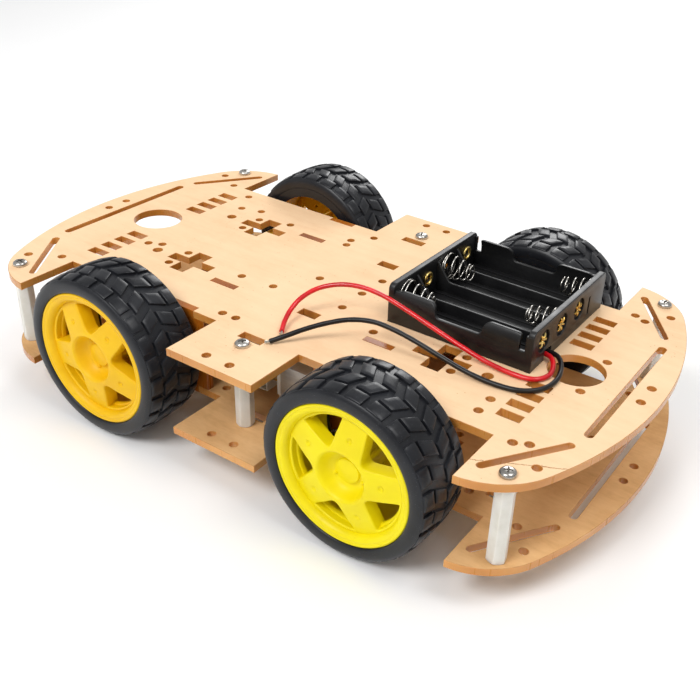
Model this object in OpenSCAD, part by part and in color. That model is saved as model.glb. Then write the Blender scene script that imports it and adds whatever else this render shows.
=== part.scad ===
// Four wheel robot chassis: two acrylic decks on six standoffs, four geared motors with
// yellow spoked wheels, and an open four-cell battery holder with two bare-ended leads.
// Millimetres. +Z up, ground at z = 0, +X towards the battery holder end, wheels turn about Y.

/* [Decks] */
// overall length of each deck
deck_len = 263; // [240:1:290]
// overall width of each deck over the centre tabs
deck_w = 151; // [140:1:165]
// deck sheet thickness
deck_t = 3; // [2:0.5:5]
// half width of a deck beside the wheels
waist_y = 50.8; // [45:0.2:56]
// clear height between the two decks
deck_gap = 30; // [25:1:40]
// clearance hole for an M3 screw
m3_hole = 3.2; // [3.1:0.1:3.6]

/* [Wheels] */
// tyre outside diameter
tyre_d = 65; // [55:1:80]
// tyre width
tyre_w = 26; // [20:1:32]
// rim outside diameter at the lip
rim_d = 52.4; // [44:0.2:60]
// half of the wheelbase
axle_x = 57; // [50:0.5:65]
// inner face of a tyre from the centre plane
tyre_in = 52.8; // [52:0.2:56]

/* [Gear motors] */
// gearbox height
gb_h = 22.3; // [20:0.1:25]
// gearbox thickness across the case
gb_t = 18.8; // [17:0.1:21]
// length of the motor can
can_l = 25; // [20:0.5:30]
// motor can diameter
can_d = 20.1; // [18:0.1:24]
// gear module
gm = 0.5; // [0.4:0.05:0.6]

/* [Standoffs] */
// hexagon size across flats
so_af = 6; // [5:0.5:8]

/* [Battery holder] */
// holder length along the cells
bh_l = 58.6; // [56:0.2:64]
// holder width over four cells
bh_w = 61; // [58:0.5:66]
// holder height
bh_h = 15.2; // [12:0.2:18]
// holder position along the deck
bh_x = 59; // [50:1:80]
// holder position across the deck
bh_y = 18; // [0:1:25]

/* [Leads] */
// insulated lead diameter
lead_d = 1.8; // [1.2:0.1:2.4]

/* [Hidden] */
$fn = 48;

axle_z = tyre_d / 2;
low_top = axle_z - deck_gap / 2;
low_z = low_top - deck_t;
up_z = axle_z + deck_gap / 2;
up_top = up_z + deck_t;
gb_y = waist_y - deck_t - gb_t / 2;
half_len = deck_len / 2;
half_w = deck_w / 2;
tab_x = 19;
wing_x = 95.2;
end_r = 140;
corner_r = 28;
corner_x = half_len - end_r + sqrt(pow(end_r - corner_r, 2) - pow(half_w - corner_r, 2));
bolt_x = 20.7;
bolt_z = 8.75;
pin_x = 24 * gm;
acrylic = [0.93, 0.76, 0.53];
yellow = [0.96, 0.83, 0.08];
black = [0.08, 0.08, 0.09];
steel = [0.78, 0.78, 0.8];
white = [0.93, 0.92, 0.88];

// screw positions shared by both decks
so_pts = [[0, 58.1], [0, -58.1], [108, 65.4], [108, -65.4], [-108, 65.4], [-108, -65.4]];
// round holes as x, y, diameter
quad_holes = [[66, 16.5, m3_hole], [66, 27.5, m3_hole], [101.8, 50.6, m3_hole],
    [113.5, 57.4, m3_hole], [125.5, 5, m3_hole], [5.2, 70.4, m3_hole], [77.5, 22.3, 4]];
one_holes = [[-52, 32], [-71.3, 35], [-80.5, 32.3], [-80, -17.3], [-85.3, -20], [-87, 44.4],
    [-86, -44.3], [-70.6, -39.8], [-35.4, -18.5], [-20.3, -17.5], [-15.7, 44.3], [-22, 36],
    [-20.8, 31.2], [-21, -45.2], [-14.8, -45], [-10.5, -0.7], [-2.5, -1], [10.3, 12.8],
    [10, -0.7], [10.6, -14.3], [30.3, -15.8], [30.3, -22.2], [85, -34], [85, -42],
    [106.7, 11.5], [106.7, -11.5], [106.5, 48.4], [106.5, -48.4]];
vents = [17.4, 24.4, 31.4, 38.4];

// ---- deck outline -------------------------------------------------------------------
tan_a = atan2(half_w - corner_r, corner_x - half_len + end_r);
cut_a = acos((wing_x - corner_x) / corner_r);
function wing_pts() = concat(
    [for (i = [0:16]) let (a = -cut_a + (cut_a - tan_a) * i / 16)
        [corner_x + corner_r * cos(a), -half_w + corner_r + corner_r * sin(a)]],
    [for (i = [1:39]) let (a = -tan_a + 2 * tan_a * i / 40)
        [half_len - end_r + end_r * cos(a), end_r * sin(a)]],
    [for (i = [0:16]) let (a = tan_a + (cut_a - tan_a) * i / 16)
        [corner_x + corner_r * cos(a), half_w - corner_r + corner_r * sin(a)]]);
function half_outline() = concat(
    [[tab_x, -half_w], [tab_x, -waist_y], [wing_x, -waist_y]], wing_pts(),
    [[wing_x, waist_y], [tab_x, waist_y], [tab_x, half_w]]);
function deck_pts() = concat(half_outline(), [for (p = half_outline()) [-p[0], -p[1]]]);

module slot2d(p, q, w) {
    d = q - p;
    l = norm(d);
    translate(p) rotate(atan2(d[1], d[0])) union() {
        translate([0, -w / 2]) square([l, w]);
        circle(d = w);
        translate([l, 0]) circle(d = w);
    }
}

module box2d(x, y, w, h) {
    translate([x - w / 2, y - h / 2]) square([w, h]);
}

module deck_cuts() {
    for (p = so_pts) translate(p) circle(d = m3_hole);
    for (h = quad_holes, sx = [-1, 1], sy = [-1, 1])
        translate([sx * h[0], sy * h[1]]) circle(d = h[2]);
    for (h = one_holes) translate(h) circle(d = m3_hole);
    for (sx = [-1, 1]) {
        translate([sx * 100.2, 0]) circle(d = 20.4, $fn = 96);
        slot2d([sx * 119.2, -32.6], [sx * 119.2, 32.6], 3);
    }
    for (sx = [-1, 1], sy = [-1, 1]) {
        slot2d([sx * 99.5, sy * 66.3], [sx * 116.8, sy * 41.2], 2.8);
        for (v = vents) box2d(sx * 94.5, sy * v, 8.4, 4);
        box2d(sx * 59.1, sy * 22, 21.6, 4.6);
        box2d(sx * 59.1, sy * 22, 7, 17);
        box2d(sx * (axle_x - bolt_x), sy * (waist_y - 3 - gb_t - 1.5), 12.1, 3.06);
        box2d(sx * (axle_x - bolt_x), sy * (waist_y - 1), 12.1, 4.06);
    }
    for (sy = [-1, 1]) {
        box2d(-0.5, sy * 52.4, 10.2, 3.8);
        box2d(4, sy * 26, 8.2, 4.2);
    }
}

module deck(z) {
    color(acrylic) translate([0, 0, z]) linear_extrude(height = deck_t) difference() {
        polygon(deck_pts());
        deck_cuts();
    }
}
module upper_deck() deck(up_z);
module lower_deck() deck(low_z);

// ---- standoffs and fasteners ---------------------------------------------------------
module standoff() {
    difference() {
        intersection() {
            cylinder(d = so_af / cos(30), h = deck_gap, $fn = 6);
            rotate_extrude($fn = 48) polygon([[0, 0], [3.05, 0], [3.5, 0.5],
                [3.5, deck_gap - 0.5], [3.05, deck_gap], [0, deck_gap]]);
        }
        translate([0, 0, -1]) cylinder(d = 3.06, h = deck_gap + 2, $fn = 32);
    }
}
module standoffs() {
    color(white) for (p = so_pts) translate([p[0], p[1], low_top]) rotate(12) standoff();
}

// pan head screw, underside of the head at z = 0, shank down
module pan_screw(len) {
    difference() {
        union() {
            rotate_extrude($fn = 40) polygon([[0, 0], [2.75, 0], [2.75, 0.9], [2.5, 1.35],
                [2.0, 1.7], [1.3, 1.9], [0, 1.95]]);
            translate([0, 0, -len]) cylinder(d = 2.94, h = len + 0.2, $fn = 32);
        }
        for (a = [0, 90]) rotate(a) translate([-1.5, -0.3, 0.8]) cube([3, 0.6, 2]);
    }
}
module standoff_screws() {
    color(steel) for (i = [0:5]) {
        translate([so_pts[i][0], so_pts[i][1], up_top]) rotate(20 + 31 * i) pan_screw(8);
        translate([so_pts[i][0], so_pts[i][1], low_z]) mirror([0, 0, 1])
            rotate(47 * i) pan_screw(8);
    }
}

// T-shaped bracket plate, drawn in X and Z about the bolt line
module bracket() {
    rotate([90, 0, 0]) translate([0, 0, -1.5]) linear_extrude(height = 3) difference() {
        union() {
            box2d(0, 0, 12, deck_gap + 2 * deck_t);
            box2d(0, 0, 22, deck_gap);
        }
        for (s = [-1, 1]) translate([0, s * bolt_z]) circle(d = m3_hole);
    }
}
module at_bolts() {
    for (sx = [-1, 1], sy = [-1, 1]) translate([sx * (axle_x - bolt_x), 0, axle_z])
        mirror([0, sy < 0 ? 1 : 0, 0]) children();
}
module motor_brackets() {
    color(acrylic) at_bolts() {
        translate([0, waist_y - 1.5, 0]) bracket();
        translate([0, waist_y - 3 - gb_t - 1.5, 0]) bracket();
    }
}
module bracket_bolts() {
    color(steel) at_bolts() for (s = [-1, 1])
        translate([0, waist_y, s * bolt_z]) rotate([-90, 0, 0]) rotate(25) pan_screw(30);
}
module bracket_nuts() {
    color(steel) at_bolts() for (s = [-1, 1])
        translate([0, waist_y - 6 - gb_t, s * bolt_z]) rotate([90, 0, 0]) difference() {
            cylinder(d = 5.5 / cos(30), h = 2.4, $fn = 6);
            translate([0, 0, -1]) cylinder(d = 3.06, h = 5, $fn = 32);
        }
}

// ---- gear motor, local frame: output shaft on Y at the origin, motor towards +X --------
module place(sx, sy) {
    translate([sx * axle_x, sy * gb_y, axle_z]) mirror([sx > 0 ? 1 : 0, 0, 0])
        mirror([0, sy < 0 ? 1 : 0, 0]) children();
}
module all_places() {
    for (sx = [-1, 1], sy = [-1, 1]) place(sx, sy) children();
}
// along_y: extrude a drawing made in X and Z from y0 to y1
module along_y(y0, y1) {
    translate([0, y1, 0]) rotate([90, 0, 0]) linear_extrude(height = y1 - y0) children();
}
module rod_y(x, z, r, y0, y1, n = 32) {
    translate([x, y1, z]) rotate([90, 0, 0]) cylinder(r = r, h = y1 - y0, $fn = n);
}
module rod_x(r, x0, x1, n = 32) {
    translate([x0, 0, 0]) rotate([0, 90, 0]) cylinder(r = r, h = x1 - x0, $fn = n);
}
module case2d(inset) {
    r = 4 - inset;
    x0 = -11.2 + inset;
    x1 = 25.5 - inset;
    h = gb_h / 2 - inset;
    union() {
        translate([x0 + r, -h]) square([x1 - x0 - r, 2 * h]);
        translate([x0, -h + r]) square([r + 1, 2 * h - 2 * r]);
        for (s = [-1, 1]) translate([x0 + r, s * (h - r)]) circle(r = r, $fn = 48);
    }
}
boss_pts = [[-8, 7.95], [-8, -7.95]];
module case_half(s) {
    // s = 1 is the wheel side half, s = -1 the inside half
    mirror([0, s < 0 ? 1 : 0, 0]) difference() {
        union() {
            difference() {
                along_y(0, gb_t / 2) case2d(0);
                along_y(-1, gb_t / 2 - 1.2) case2d(1.3);
            }
            for (q = [-1, 1]) rod_y(bolt_x, q * bolt_z, 2.4, 0, gb_t / 2 - 0.6);
            for (p = boss_pts) rod_y(p[0], p[1], 1.75, 0, gb_t / 2 - 0.6);
            if (s > 0) rod_y(0, 0, 4.2, gb_t / 2 - 0.1, gb_t / 2 + 0.6, 48);
            if (s < 0) along_y(0, 2.6) difference() {
                union() {
                    translate([-13.8, -2.6]) square([4, 5.2]);
                    translate([-13.8, 0]) circle(r = 2.6);
                }
                translate([-13.8, 0]) circle(r = 1.5);
            }
        }
        for (q = [-1, 1]) rod_y(bolt_x, q * bolt_z, 1.6, -1, gb_t);
        for (p = boss_pts) rod_y(p[0], p[1], s > 0 ? 0.95 : 1.05, -1, s > 0 ? 7 : gb_t);
        if (s < 0) for (p = boss_pts) rod_y(p[0], p[1], 2.0, gb_t / 2 - 0.7, gb_t);
        if (s > 0) rod_y(0, 0, 2.76, 5, gb_t);
        if (s < 0) rod_y(0, 0, 2.06, 5, gb_t / 2 - 0.4);
        rod_y(pin_x, 0, 1, 5, gb_t / 2 - 0.4);
        rod_x(3.12, 22, 27);
    }
}
module motor_can() {
    color(steel) difference() {
        union() {
            intersection() {
                rod_x(can_d / 2, 25.5, 25.5 + can_l, 64);
                translate([20, -7.55, -15]) cube([40, 15.1, 30]);
            }
            rod_x(3, 24.3, 25.6);
        }
        intersection() {
            rod_x(can_d / 2 - 0.8, 26.4, 60, 64);
            translate([20, -6.75, -15]) cube([40, 13.5, 30]);
        }
        rod_x(1.05, 20, 30);
    }
}
module end_cap() {
    difference() {
        union() {
            intersection() {
                rod_x(can_d / 2 - 0.05, 25.5 + can_l, 27 + can_l, 64);
                translate([20, -7.5, -15]) cube([40, 15, 30]);
            }
            intersection() {
                rod_x(can_d / 2 - 0.9, 23.5 + can_l, 25.6 + can_l, 64);
                translate([20, -6.65, -15]) cube([40, 13.3, 30]);
            }
            rod_x(2.9, 26.9 + can_l, 28 + can_l);
        }
        rod_x(1.05, 40, 27.4 + can_l);
        for (s = [-1, 1]) translate([24 + can_l - 1, -1.3, s * 6.4 - 0.3]) cube([6, 2.6, 0.6]);
    }
}
module motor_end_caps() { color(white) all_places() end_cap(); }
module motor_magnets() {
    color([0.25, 0.25, 0.27]) all_places() for (s = [-1, 1]) difference() {
        intersection() {
            rod_x(can_d / 2 - 0.85, 29, 45, 64);
            translate([20, -5.2, s > 0 ? 2 : -12]) cube([40, 10.4, 10]);
        }
        rod_x(6.6, 20, 60, 64);
    }
}
module motor_straps() {
    color([0.9, 0.9, 0.86]) all_places() difference() {
        along_y(-4, 4) polygon([[18.5, 11.15], [25.5, 11.15],
            [53.6, 10.15], [53.6, -10.15], [25.5, -11.15], [18.5, -11.15], [18.5, -11.65],
            [25.6, -11.65], [54.1, -10.6], [54.1, 10.6], [25.6, 11.65], [18.5, 11.65]]);
        for (q = [-1, 1]) translate([53, -1.7, q * 6.4 - 0.7]) cube([2, 3.4, 1.4]);
    }
}
module motor_terminals() {
    color([0.8, 0.6, 0.3]) all_places() for (s = [-1, 1]) difference() {
        translate([24.2 + can_l, -1.2, s * 6.4 - 0.2]) cube([7.2, 2.4, 0.4]);
        translate([30 + can_l, 0, s * 6.4 - 1]) cylinder(r = 0.6, h = 2, $fn = 16);
    }
}
module gearbox_screws() {
    color(steel) all_places() for (p = boss_pts) union() {
        rod_y(p[0], p[1], 0.94, -gb_t / 2 + 0.4, 6, 20);
        rod_y(p[0], p[1], 1.9, -gb_t / 2 - 0.5, -gb_t / 2 + 0.7, 24);
    }
}
module gear_pins() {
    color(steel) all_places() rod_y(pin_x, 0, 0.98, -gb_t / 2 + 0.5, gb_t / 2 - 0.5);
}

// spur gear profile with 6 points to a tooth, thinned for backlash
function inv_deg(a) = tan(a) * 180 / PI - a;
function flank(n, r, w) = let (rb = n * gm / 2 * cos(25), rr = max(r, rb * 1.0001))
    w * 180 / n + inv_deg(25) - inv_deg(acos(rb / rr));
function gear_pts(n, ra, rd, w = 0.44) = let (p = n * gm / 2, r0 = p - rd, r1 = p, r2 = p + ra,
    a0 = flank(n, r0, w), a1 = flank(n, r1, w), a2 = flank(n, r2, w))
    [for (i = [0:n - 1], k = [[r0, -a0], [r1, -a1], [r2, -a2], [r2, a2], [r1, a1], [r0, a0]])
        let (t = 360 * i / n + k[1]) [k[0] * cos(t), k[0] * sin(t)]];
module spur(n, y0, y1, shift = 0) {
    along_y(y0, y1) rotate(shift) polygon(gear_pts(n, 0.42, 0.62));
}
nylon = [0.9, 0.9, 0.92];
// crown gear with 24 face teeth and a 12 tooth spur
module crown_gear() {
    color(nylon) translate([pin_x, 0, 0]) difference() {
        union() {
            spur(12, -8.1, -4.8, 15);
            rod_y(0, 0, 8.7, -4.9, -3.5, 64);
            rod_y(0, 0, 2, -3.6, 3.2);
            for (i = [0:23]) rotate([0, 7.5 + 15 * i, 0]) translate([0, -3.6, 0])
                rotate([-90, 0, 0]) linear_extrude(height = 1.15)
                    polygon([[6.7, -0.34], [8.6, -0.42], [8.6, 0.42], [6.7, 0.34]]);
        }
        rod_y(0, 0, 1.04, -10, 10);
    }
}
// middle gear runs free on the output shaft, 36 and 16 teeth
module middle_gear() {
    color(nylon) difference() {
        union() {
            spur(36, -7.9, -5.2);
            rod_y(0, 0, 2.85, -5.3, 4);
            spur(16, 3.7, 6);
        }
        rod_y(0, 0, 2.05, -10, 10);
    }
}
// third gear runs free on the pin, 32 and 12 teeth
module third_gear() {
    color(nylon) translate([pin_x, 0, 0]) difference() {
        union() {
            spur(32, 3.7, 5.9, 180 / 32);
            spur(12, 5.8, 8.1, 15);
        }
        rod_y(0, 0, 1.04, -10, 10);
    }
}
module output_shaft(ph) {
    color(white) rotate([0, ph, 0]) difference() {
        union() {
            rod_y(0, 0, 2, -8.9, 6.5);
            rotate([0, -ph, 0]) spur(36, 6.3, 8);
            rod_y(0, 0, 2.7, 6.4, 18.4);
        }
        for (s = [-1, 1]) translate([-5, 10, s * 1.85 - (s < 0 ? 3 : 0)]) cube([10, 10, 3]);
        rod_y(0, 0, 0.9, 9, 19, 20);
    }
}
module rotor() {
    color([0.7, 0.55, 0.3]) union() {
        rod_x(1, 18.1, 52.3);
        translate([18.5, 0, 0]) rotate([0, 90, 0]) linear_extrude(height = 2.1)
            rotate(-90) polygon([for (p = gear_pts(9, 0.42, 0.62, 0.4)) p * 1.2666]);
        rod_x(3.2, 30.8, 43.2, 32);
        for (a = [30, 150, 270]) rotate([a, 0, 0]) union() {
            translate([31, -1.4, 2]) cube([12, 2.8, 3.3]);
            translate([30.4, -2.3, 3.4]) cube([13.2, 4.6, 1.4]);
            translate([31.2, -2.4, 5.1]) cube([11.6, 4.8, 0.8]);
        }
        rod_x(2.4, 44.5, 47.8, 32);
    }
}

// ---- wheel, local frame: same origin as the gear motor, +Y outward ---------------------
wy = tyre_in - gb_y;
function arc(r, a0, a1, n) = [for (i = [0:n]) let (a = a0 + (a1 - a0) * i / n)
    [r * cos(a), r * sin(a)]];
// one window between two spokes, centred on angle 0
function window_pts() = concat(arc(20.7, -20.5, 20.5, 10), [[18.9, 8.1], [16.5, 5.3],
    [13.5, 2.8], [12.2, 1.9], [11.4, 1.1], [11.1, 0], [11.4, -1.1], [12.2, -1.9],
    [13.5, -2.8], [16.5, -5.3], [18.9, -8.1]]);
module rim(ph) {
    color(yellow) rotate([0, ph, 0]) difference() {
        union() {
            translate([0, wy, 0]) rotate([-90, 0, 0]) rotate_extrude($fn = 96) polygon([
                [23.6, 0.7], [rim_d / 2, 0.7], [rim_d / 2, 1.9], [25, 2.9], [25, 22.6],
                [rim_d / 2, 23.6], [rim_d / 2, 25.0], [25.6, 25.4], [23.6, 25.1], [22.4, 23.6],
                [21.7, 22.9], [9.5, 25.1], [8.8, 24.2], [7.2, 20.6], [4.6, 20.2], [4.6, 20.9],
                [0, 21.0], [0, 18], [9.8, 18.6], [10.6, 21.2], [21.6, 21.2], [23.6, 19.5]]);
            rod_y(0, 0, 5.6, 10.4, wy + 18.5, 48);
            for (i = [0:4]) rotate([0, 72 * i + 36, 0])
                translate([5, wy + 1.5, -0.6]) cube([5.2, 18, 1.2]);
        }
        for (i = [0:4]) rotate([0, 72 * i, 0]) along_y(wy + 19, wy + 26)
            polygon(window_pts());
        for (i = [0:4]) rotate([0, 72 * i + 36, 0]) rod_y(15, 0, 0.8, wy + 23.8, wy + 25, 16);
        intersection() {
            rod_y(0, 0, 2.73, 5, 18.8);
            translate([-5, 5, -1.88]) cube([10, 20, 3.76]);
        }
    }
}
module tyre(ph) {
    color(black) rotate([0, ph, 0]) translate([0, wy, 0]) rotate([-90, 0, 0])
        rotate_extrude($fn = 96) polygon([[rim_d / 2 + 0.02, 0.4], [29.2, 0], [30.8, 0.6],
            [31.6, 1.6], [32.1, 6], [tyre_d / 2, 9], [tyre_d / 2, 17], [32.1, 20], [31.6, 24.4],
            [30.8, 25.4], [29.2, tyre_w], [rim_d / 2 + 0.02, 25.6], [rim_d / 2 + 0.02, 23.5],
            [25.08, 22.55], [25.08, 21], [27.4, 20.6], [28.4, 18], [28.6, 13], [28.4, 8],
            [27.4, 5.4], [25.08, 5], [25.08, 2.95], [rim_d / 2 + 0.02, 2]]);
}

// ---- battery holder -------------------------------------------------------------------
tape_t = 0.3;
bz = up_top + tape_t;
bx0 = bh_x - bh_l / 2;
bx1 = bh_x + bh_l / 2;
by0 = bh_y - bh_w / 2;
by1 = bh_y + bh_w / 2;
pitch = (bh_w - 2.8) / 4;
// axis of a cell above the holder's base
cell_z = 8.7;
function bay_y(i) = by0 + 1.4 + pitch * (i + 0.5);
// near side wall drawn along the holder from its left end, the far one is its mirror image
side_pts = [[0, 0], [bh_l, 0], [bh_l, 13.4], [bh_l - 3, 13.4], [bh_l - 3, 7.4],
    [bh_l - 5.2, 7.4], [bh_l - 5.2, 12.8], [bh_l - 6.6, 13.2], [bh_l - 17.6, 13.2],
    [bh_l - 19.4, 12], [bh_l - 20.2, 7.8], [20.2, 7.8], [19.4, 12], [17.6, 13.2], [6, 13.2],
    [4.8, 12.8], [0, 12.8]];
module battery_holder() {
    color(black) translate([bx0, by0, bz]) difference() {
        union() {
            cube([bh_l, bh_w, 1.6]);
            for (x = [0, bh_l - 2.4]) translate([x, 0, 0]) difference() {
                cube([2.4, bh_w, bh_h]);
                for (s = [0, 1]) translate([-1, s * (bh_w - 2.2), bh_h - 2.2])
                    difference() {
                        translate([0, s > 0 ? 0.01 : -0.01, 0]) cube([5, 2.2, 2.3]);
                        translate([-1, s > 0 ? 0 : 2.2, 0]) rotate([0, 90, 0])
                            cylinder(r = 2.2, h = 8, $fn = 32);
                    }
            }
            for (y = [1.4, bh_w]) translate([0, y, 0]) rotate([90, 0, 0])
                linear_extrude(height = 1.4)
                    polygon([for (p = side_pts) [y > 2 ? bh_l - p[0] : p[0], p[1]]]);
            for (i = [1:3]) translate([0, 1.4 + pitch * i + 0.5, 0]) rotate([90, 0, 0])
                linear_extrude(height = 1) polygon([[1, 0], [bh_l - 1, 0], [bh_l - 1, 13.4],
                    [bh_l - 2.4, 13.4], [bh_l - 8, 6], [8, 6], [2.4, 13.4], [1, 13.4]]);
        }
        for (i = [0:3], x = i < 3 ? [-0.1, bh_l - 0.9] : [-0.1])
            translate([x, 1.4 + pitch * (i + 0.5), cell_z])
                rotate([0, 90, 0]) cylinder(r = 4.2, h = 1, $fn = 32);
        for (i = [0:3], x = i < 3 ? [-1, bh_l - 4] : [-1])
            translate([x, 1.4 + pitch * (i + 0.5), cell_z])
                rotate([0, 90, 0]) cylinder(r = 1.2, h = 5, $fn = 24);
        translate([bh_l - 0.9, 46.6, 2.6]) cube([1, 1, 7.2]);
        translate([bh_l - 4, 10.8, -1]) cube([6, 5.4, 4.6]);
    }
}
module holder_tape() {
    color([0.8, 0.8, 0.78]) for (y = [by0 + 8, by1 - 20])
        translate([bx0 + 6, y, up_top]) cube([bh_l - 12, 12, tape_t]);
}
function spring_left(i) = i % 2 == 0;
module eyelet() {
    // hollow brass eyelet through an end wall, head inside at x = 2.4
    difference() {
        union() {
            rod_x(1.15, 0.3, 2.6, 24);
            rod_x(2.3, 0.3, 0.75, 32);
        }
        rod_x(0.7, -1, 5, 20);
    }
}
module battery_eyelets() {
    color([0.85, 0.68, 0.3]) for (i = [0:3]) {
        translate([bx0, bay_y(i), bz + cell_z]) union() {
            eyelet();
            if (!spring_left(i)) contact_ring();
        }
        if (i < 3) translate([bx1, bay_y(i), bz + cell_z]) mirror([1, 0, 0]) union() {
            eyelet();
            if (spring_left(i)) contact_ring();
        }
    }
}
module contact_ring() {
    difference() {
        rod_x(2.9, 2.42, 3.3, 32);
        rod_x(0.7, 0, 5, 20);
    }
}

// ---- swept round tubes: springs and leads ----------------------------------------------
function unit(v) = v / norm(v);
function tang(p, i) = unit(p[min(i + 1, len(p) - 1)] - p[max(i - 1, 0)]);
function side(t) = unit(cross(t, abs(t[2]) > 0.9 ? [0, 1, 0] : [0, 0, 1]));
function ring(p, i, r, n, e) = let (t = tang(p, i), s = side(t), u = cross(s, t))
    [for (k = [0:n - 1]) p[i] + r * (cos(360 * k / n + e) * s + sin(360 * k / n + e) * u)];
module sweep(p, r, n) {
    m = len(p);
    pts = [for (i = [0:m - 1]) each ring(p, i, r, n, 22.5)];
    sides = [for (i = [0:m - 2], k = [0:n - 1]) let (a = i * n + k, b = i * n + (k + 1) % n)
        [a, b, b + n, a + n]];
    polyhedron(points = pts, faces = concat(sides, [[for (k = [0:n - 1]) n - 1 - k]],
        [[for (k = [0:n - 1]) (m - 1) * n + k]]), convexity = 10);
}
// conical contact spring along +X, base at x = 2.4
function coil_pts() = [for (i = [0:56]) let (a = i * 22.5 * 1.15, f = i / 56)
    [2.85 + 10.3 * f, (5.2 - 2.3 * f) * cos(a), (5.2 - 2.3 * f) * sin(a)]];
module battery_springs() {
    color([0.82, 0.82, 0.84]) for (i = [0:3]) {
        if (spring_left(i)) translate([bx0, bay_y(i), bz + cell_z]) sweep(coil_pts(), 0.38, 6);
        if (!spring_left(i)) translate([bx1, bay_y(i), bz + cell_z]) rotate([0, 0, 180])
            sweep(coil_pts(), 0.38, 6);
    }
}

// lead routes: height above the upper deck in the third value
red_route = [[84.8, -0.2, 2.2], [88, -0.3, 2.2], [91.2, -1.6, 2], [93.6, -5.6, 1.4],
    [94.6, -11, 1.1], [91.6, -16.2, 1.1], [84, -17.6, 1.1], [74, -16.8, 1.4],
    [64, -16, 3], [52, -15.4, 5.8], [40, -15.2, 9], [30, -15.2, 11.4],
    [21, -16, 12.4], [12.6, -18.2, 11.8], [5.8, -22.4, 9.8], [2.4, -28, 7.2],
    [1.8, -33.4, 4.6], [3.2, -39, 2.4], [5.6, -43.6, 1.1]];
black_route = [[84.8, 2.0, 2.2], [88.6, 1.9, 2.2], [93, 0.4, 2], [96.4, -5, 1.4],
    [98, -12.6, 1.1], [96.4, -20, 1.1], [91, -25.2, 1.1], [82, -27, 1.1],
    [72, -27.2, 1.8], [61, -26.8, 3.6], [51, -26.8, 5.8], [42, -27.4, 7.6],
    [34.4, -28.8, 8.6], [27, -32.2, 8.3], [20.6, -37, 6.8], [15, -42.4, 4.8],
    [10.6, -47.6, 2.8], [6.8, -51.6, 1.1]];
function cr(a, b, c, d, t) = 0.5 * ((2 * b) + (c - a) * t + (2 * a - 5 * b + 4 * c - d) * t * t
    + (3 * b - a - 3 * c + d) * t * t * t);
function smooth(p, k) = let (m = len(p)) concat([for (i = [0:m - 2], j = [0:k - 1])
    cr(p[max(i - 1, 0)], p[i], p[i + 1], p[min(i + 2, m - 1)], j / k)], [p[m - 1]]);
module lead(route) {
    translate([0, 0, up_top]) sweep(smooth(route, 3), lead_d / 2, 8);
}
module red_lead() { color([0.85, 0.05, 0.12]) lead(red_route); }
module black_lead() { color([0.1, 0.08, 0.09]) lead(black_route); }

module wheel_set(sx, sy, ph, part) {
    place(sx, sy) {
        if (part == "gearbox_outer") color(yellow) case_half(1);
        if (part == "gearbox_inner") color(yellow) case_half(-1);
        if (part == "motor_can") motor_can();
        if (part == "rotor") rotor();
        if (part == "crown_gear") crown_gear();
        if (part == "middle_gear") middle_gear();
        if (part == "third_gear") third_gear();
        if (part == "output_shaft") output_shaft(ph);
        if (part == "rim") rim(ph);
        if (part == "tyre") tyre(ph);
    }
}
module gearbox_outer_fr() wheel_set(1, -1, 8, "gearbox_outer");
module gearbox_inner_fr() wheel_set(1, -1, 8, "gearbox_inner");
module motor_can_fr() wheel_set(1, -1, 8, "motor_can");
module rotor_fr() wheel_set(1, -1, 8, "rotor");
module crown_gear_fr() wheel_set(1, -1, 8, "crown_gear");
module middle_gear_fr() wheel_set(1, -1, 8, "middle_gear");
module third_gear_fr() wheel_set(1, -1, 8, "third_gear");
module output_shaft_fr() wheel_set(1, -1, 8, "output_shaft");
module rim_fr() wheel_set(1, -1, 8, "rim");
module tyre_fr() wheel_set(1, -1, 8, "tyre");
module gearbox_outer_fl() wheel_set(1, 1, 0, "gearbox_outer");
module gearbox_inner_fl() wheel_set(1, 1, 0, "gearbox_inner");
module motor_can_fl() wheel_set(1, 1, 0, "motor_can");
module rotor_fl() wheel_set(1, 1, 0, "rotor");
module crown_gear_fl() wheel_set(1, 1, 0, "crown_gear");
module middle_gear_fl() wheel_set(1, 1, 0, "middle_gear");
module third_gear_fl() wheel_set(1, 1, 0, "third_gear");
module output_shaft_fl() wheel_set(1, 1, 0, "output_shaft");
module rim_fl() wheel_set(1, 1, 0, "rim");
module tyre_fl() wheel_set(1, 1, 0, "tyre");
module gearbox_outer_rr() wheel_set(-1, -1, 58, "gearbox_outer");
module gearbox_inner_rr() wheel_set(-1, -1, 58, "gearbox_inner");
module motor_can_rr() wheel_set(-1, -1, 58, "motor_can");
module rotor_rr() wheel_set(-1, -1, 58, "rotor");
module crown_gear_rr() wheel_set(-1, -1, 58, "crown_gear");
module middle_gear_rr() wheel_set(-1, -1, 58, "middle_gear");
module third_gear_rr() wheel_set(-1, -1, 58, "third_gear");
module output_shaft_rr() wheel_set(-1, -1, 58, "output_shaft");
module rim_rr() wheel_set(-1, -1, 58, "rim");
module tyre_rr() wheel_set(-1, -1, 58, "tyre");
module gearbox_outer_rl() wheel_set(-1, 1, 40, "gearbox_outer");
module gearbox_inner_rl() wheel_set(-1, 1, 40, "gearbox_inner");
module motor_can_rl() wheel_set(-1, 1, 40, "motor_can");
module rotor_rl() wheel_set(-1, 1, 40, "rotor");
module crown_gear_rl() wheel_set(-1, 1, 40, "crown_gear");
module middle_gear_rl() wheel_set(-1, 1, 40, "middle_gear");
module third_gear_rl() wheel_set(-1, 1, 40, "third_gear");
module output_shaft_rl() wheel_set(-1, 1, 40, "output_shaft");
module rim_rl() wheel_set(-1, 1, 40, "rim");
module tyre_rl() wheel_set(-1, 1, 40, "tyre");

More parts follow.
